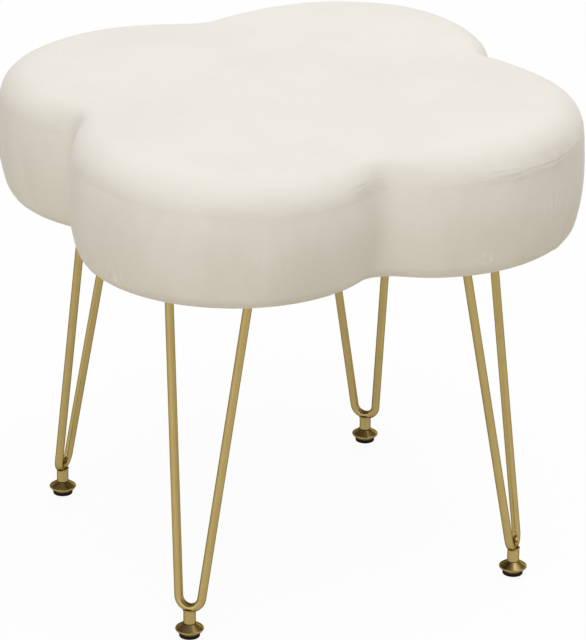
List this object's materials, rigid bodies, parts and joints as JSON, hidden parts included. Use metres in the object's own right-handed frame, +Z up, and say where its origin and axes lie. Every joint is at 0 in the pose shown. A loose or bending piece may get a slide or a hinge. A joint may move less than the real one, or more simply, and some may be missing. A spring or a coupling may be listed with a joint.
{
  "type": "footstool",
  "caption": "Low footstool with a flower-shaped stuffed velvet seat on splayed brass hairpin legs, each with a screw-in levelling glide.",
  "frame": {"origin": "on the floor, under the middle of the seat, with every glide screwed home", "axes": "+Z up through the middle of the seat; the four legs stand along +X, +Y, -X and -Y, each under a petal, and -Y is the front"},
  "size_m": [0.484, 0.484, 0.4],
  "materials": {
    "velvet": "matte",
    "foam": "matte",
    "plywood": "matte",
    "dust_cloth": "matte",
    "staple_wire": "satin",
    "zinc_steel": "satin",
    "satin_brass": "satin",
    "polished_brass": "polished",
    "pad_rubber": "matte"
  },
  "bodies": {
    "stool": {"cover_top_panel": "velvet", "cover_side_band": "velvet", "foam_core": "foam", "base_board": "plywood", "tee_nuts": "zinc_steel", "dust_cover": "dust_cloth", "cover_staples": "staple_wire", "dust_cover_staples": "staple_wire", "right_leg_plate": "satin_brass", "right_leg_screws": "zinc_steel", "right_leg_rod": "satin_brass", "right_leg_sleeve": "satin_brass", "rear_leg_plate": "satin_brass", "rear_leg_screws": "zinc_steel", "rear_leg_rod": "satin_brass", "rear_leg_sleeve": "satin_brass", "left_leg_plate": "satin_brass", "left_leg_screws": "zinc_steel", "left_leg_rod": "satin_brass", "left_leg_sleeve": "satin_brass", "front_leg_plate": "satin_brass", "front_leg_screws": "zinc_steel", "front_leg_rod": "satin_brass", "front_leg_sleeve": "satin_brass"},
    "right_pad": {"right_glide_pad": "pad_rubber"},
    "right_glide": {"right_glide_stud": "zinc_steel", "right_glide_skirt": "polished_brass"},
    "rear_pad": {"rear_glide_pad": "pad_rubber"},
    "rear_glide": {"rear_glide_stud": "zinc_steel", "rear_glide_skirt": "polished_brass"},
    "left_pad": {"left_glide_pad": "pad_rubber"},
    "left_glide": {"left_glide_stud": "zinc_steel", "left_glide_skirt": "polished_brass"},
    "front_pad": {"front_glide_pad": "pad_rubber"},
    "front_glide": {"front_glide_stud": "zinc_steel", "front_glide_skirt": "polished_brass"}
  },
  "joints": [
    {"name": "right_glide_drop", "type": "slide", "parent": "stool", "child": "right_pad", "axis": [0, 0, -1], "range_m": [0, 0.004]},
    {"name": "right_glide_turn", "type": "hinge", "parent": "right_pad", "child": "right_glide", "pos_m": [0.2015, 0, 0], "axis": [0, 0, -1], "range_deg": [0, 1440]},
    {"name": "rear_glide_drop", "type": "slide", "parent": "stool", "child": "rear_pad", "axis": [0, 0, -1], "range_m": [0, 0.004]},
    {"name": "rear_glide_turn", "type": "hinge", "parent": "rear_pad", "child": "rear_glide", "pos_m": [0, 0.2015, 0], "axis": [0, 0, -1], "range_deg": [0, 1440]},
    {"name": "left_glide_drop", "type": "slide", "parent": "stool", "child": "left_pad", "axis": [0, 0, -1], "range_m": [0, 0.004]},
    {"name": "left_glide_turn", "type": "hinge", "parent": "left_pad", "child": "left_glide", "pos_m": [-0.2015, 0, 0], "axis": [0, 0, -1], "range_deg": [0, 1440]},
    {"name": "front_glide_drop", "type": "slide", "parent": "stool", "child": "front_pad", "axis": [0, 0, -1], "range_m": [0, 0.004]},
    {"name": "front_glide_turn", "type": "hinge", "parent": "front_pad", "child": "front_glide", "pos_m": [0, -0.2015, 0], "axis": [0, 0, -1], "range_deg": [0, 1440]}
  ],
  "couplings": [
    {"joint": "right_glide_turn", "follows": "right_glide_drop", "rad_per_m": 6283.2},
    {"joint": "rear_glide_turn", "follows": "rear_glide_drop", "rad_per_m": 6283.2},
    {"joint": "left_glide_turn", "follows": "left_glide_drop", "rad_per_m": 6283.2},
    {"joint": "front_glide_turn", "follows": "front_glide_drop", "rad_per_m": 6283.2}
  ]
}
